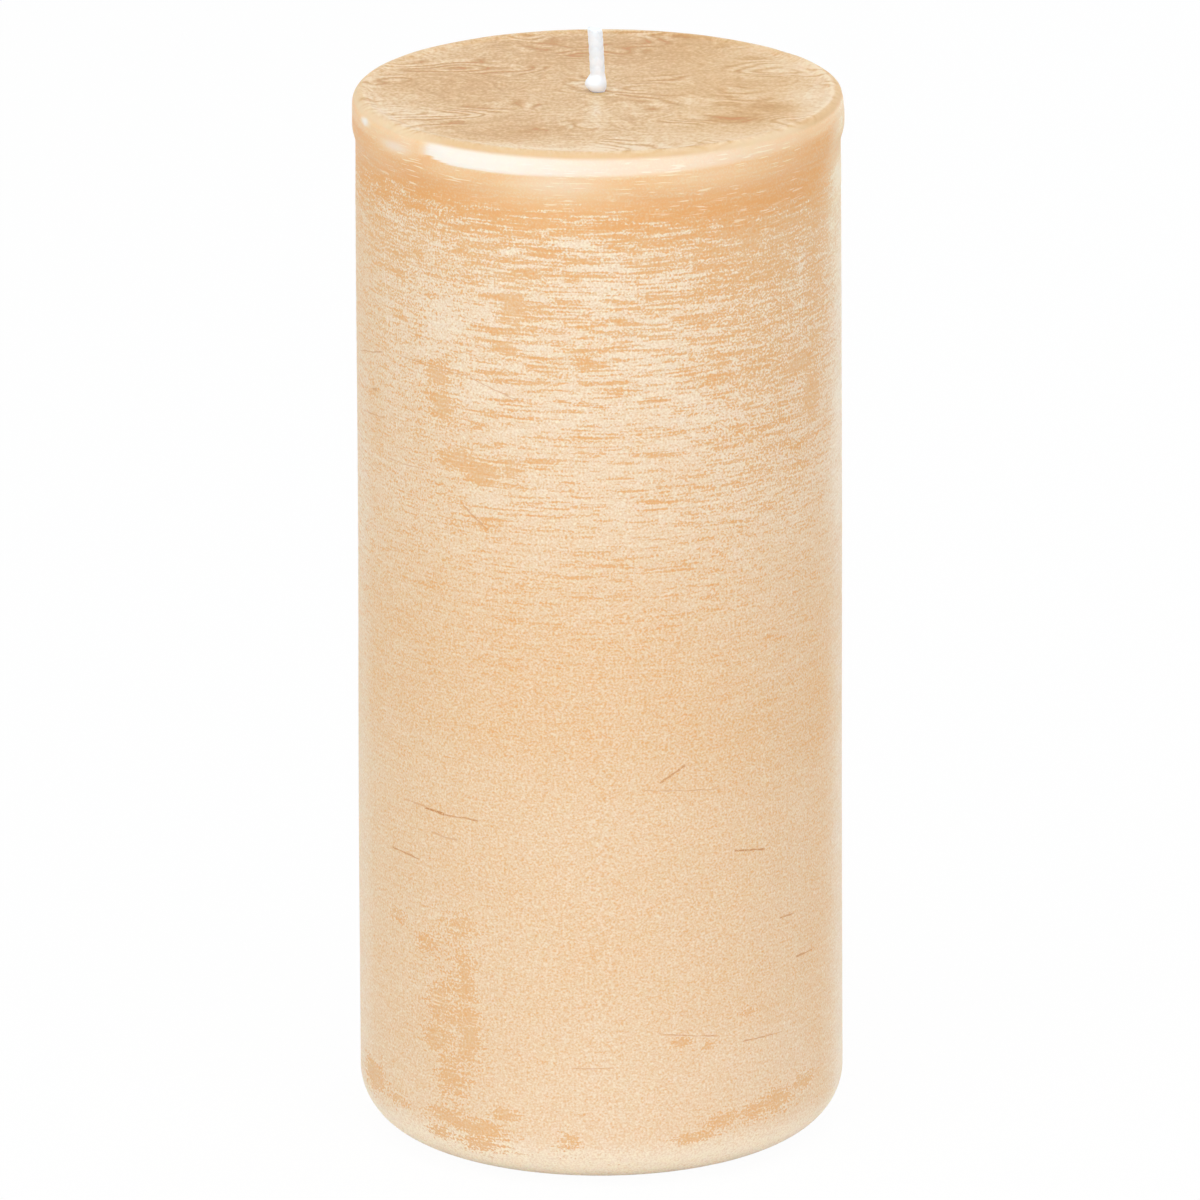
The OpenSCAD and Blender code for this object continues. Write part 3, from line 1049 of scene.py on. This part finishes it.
# Tinted blue as painted light, against the warm light that the wax throws on the wick
colour = shader.mix(shader.ease(0.3, 0.7, shade), rgb(238, 244, 253), rgb(246, 250, 255))
colour = shader.mix(shader.ease(0.42, 0.25, fibre) * 0.25, colour, rgb(228, 232, 234))
surface = shader.node(
    "ShaderNodeBsdfPrincipled",
    {"subsurface_method": "RANDOM_WALK"},
    {
        "Base Color": colour,
        "Roughness": 0.42 + 0.2 * fibre,
        "Subsurface Weight": 0.6,
        "Subsurface Radius": (1.0, 1.0, 1.0),
        "Subsurface Scale": 1.2 * MM,
        "Coat Weight": 0.4,
        "Coat Roughness": 0.25,
        # A painted glow: the wick is no lamp, and this blue-white light keeps it white beside the warm wax
        "Emission Color": (0.3, 0.55, 1.0, 1.0),
        "Emission Strength": 0.13,
        "Normal": shader.bump(fibre * 0.008),
    },
)
shader.finish(surface)
wick.data.materials.append(shader.material)

# %% Tin material
shader = Shader("tinplate")
place = shader.place()
rolled = shader.noise(place, (6.0, 0.12, 2.0), detail=3.0)
stain = shader.noise(place, (3.0, 3.0, 3.0), detail=3.0)
colour = shader.mix(shader.ease(0.4, 0.7, stain), rgb(206, 207, 208), rgb(184, 184, 183))
surface = shader.node(
    "ShaderNodeBsdfPrincipled",
    None,
    {
        "Base Color": colour,
        "Metallic": 1.0,
        "Roughness": 0.26 + 0.16 * rolled,
        "Normal": shader.bump(rolled * 0.004),
    },
)
shader.finish(surface)
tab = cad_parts["wick_tab"]
tab.data.materials.clear()
tab.data.materials.append(shader.material)

# %% [markdown]
# ## Floor and backdrop
#
# The photograph's ground is pure white. The floor is white paint that also glows at a strength of 1
# for the camera and for reflections, so that the ground is white without more light on the candle.
# A share of the paint stays in view, and with it a faint shadow under the foot. The world is white
# in the same way where it is seen, and dimmer as a light.


# %% Floor
def seen_directly(shader):
    """1 for rays from the camera, from a gloss or through glass, and 0 for light that bounces."""
    kinds = ("Camera", "Glossy", "Transmission")
    rays = [shader.node("ShaderNodeLightPath", output=f"Is {kind} Ray") for kind in kinds]
    return rays[0].math("MAXIMUM", rays[1]).math("MAXIMUM", rays[2])


half_floor = 3.0
floor_drop = 0.02 * MM
floor_glow = 0.96
white = (1.0, 1.0, 1.0, 1.0)
corners = np.array([[-1, -1, 0], [1, -1, 0], [1, 1, 0], [-1, 1, 0]]) * half_floor - [0, 0, floor_drop]
floor_mesh = bpy.data.meshes.new("floor")
floor_mesh.from_pydata(corners, [], [(0, 1, 2, 3)])
floor = bpy.data.objects.new("floor", floor_mesh)
bpy.context.scene.collection.objects.link(floor)

shader = Shader("white_floor")
paint = shader.node("ShaderNodeBsdfDiffuse", None, {"Color": rgb(250, 250, 250)})
glow = shader.node("ShaderNodeEmission", None, {"Color": white, "Strength": 1.0})
share = seen_directly(shader) * floor_glow
shader.finish(shader.node("ShaderNodeMixShader", None, {0: share, 1: paint, 2: glow}))
floor_mesh.materials.append(shader.material)

# %% World
world_light = 0.45
world = bpy.data.worlds.new("studio")
world.use_nodes = True
bpy.context.scene.world = world
shader = Shader("studio", world.node_tree)
strength = world_light + (1 - world_light) * seen_directly(shader)
sky = shader.node("ShaderNodeBackground", None, {"Color": white, "Strength": strength})
shader.finish(sky, "ShaderNodeOutputWorld")

# %% [markdown]
# ## Light
#
# The picture is a high-key product shot: large soft boxes in front keep the wall even, one above lights the
# top, and two narrow ones behind brighten the edges. The white band of the rim and the pale strip on the
# right are painted light: a painted highlight and a painted backlight in the wax's colour. The lamps add
# some shine to them, so both stay in place when the candle is seen in other light.


# %% Lamps
def soft_box(name, bearing, elevation, distance, width, tall, power, tint=(1.0, 1.0, 1.0)):
    """A rectangular lamp that faces the candle, placed by its bearing from the front in degrees."""
    a, e = math.radians(bearing), math.radians(elevation)
    away = np.array([math.sin(a) * math.cos(e), -math.cos(a) * math.cos(e), math.sin(e)])
    lamp = bpy.data.lights.new(name, "AREA")
    lamp.shape = "RECTANGLE"
    lamp.size, lamp.size_y = width, tall
    lamp.energy = power
    lamp.color = tint
    holder = bpy.data.objects.new(name, lamp)
    bpy.context.scene.collection.objects.link(holder)
    holder.location = away * distance + [0, 0, candle_h / 2]
    holder.rotation_euler = (math.pi / 2 - e, 0.0, a)
    print(f"{name}: {power} W at {bearing} degrees")


soft_box("key", -30, 22, 1.3, 2.4, 0.8, 6.9, tint=(0.93, 1.0, 1.0))
soft_box("fill", 38, 18, 1.5, 1.0, 0.8, 2.9)
soft_box("top", 0, 78, 1.1, 0.8, 0.6, 4.1)
soft_box("edge_right", 142, 14, 0.9, 0.35, 0.9, 2.4, tint=(0.85, 1.0, 1.12))
soft_box("edge_left", -140, 20, 1.0, 0.3, 0.8, 0.9, tint=(0.9, 1.0, 1.0))

# %% [markdown]
# ## Finish
#
# The picture keeps plain colours.

# %% Finish
bpy.context.scene.view_settings.view_transform = "Standard"
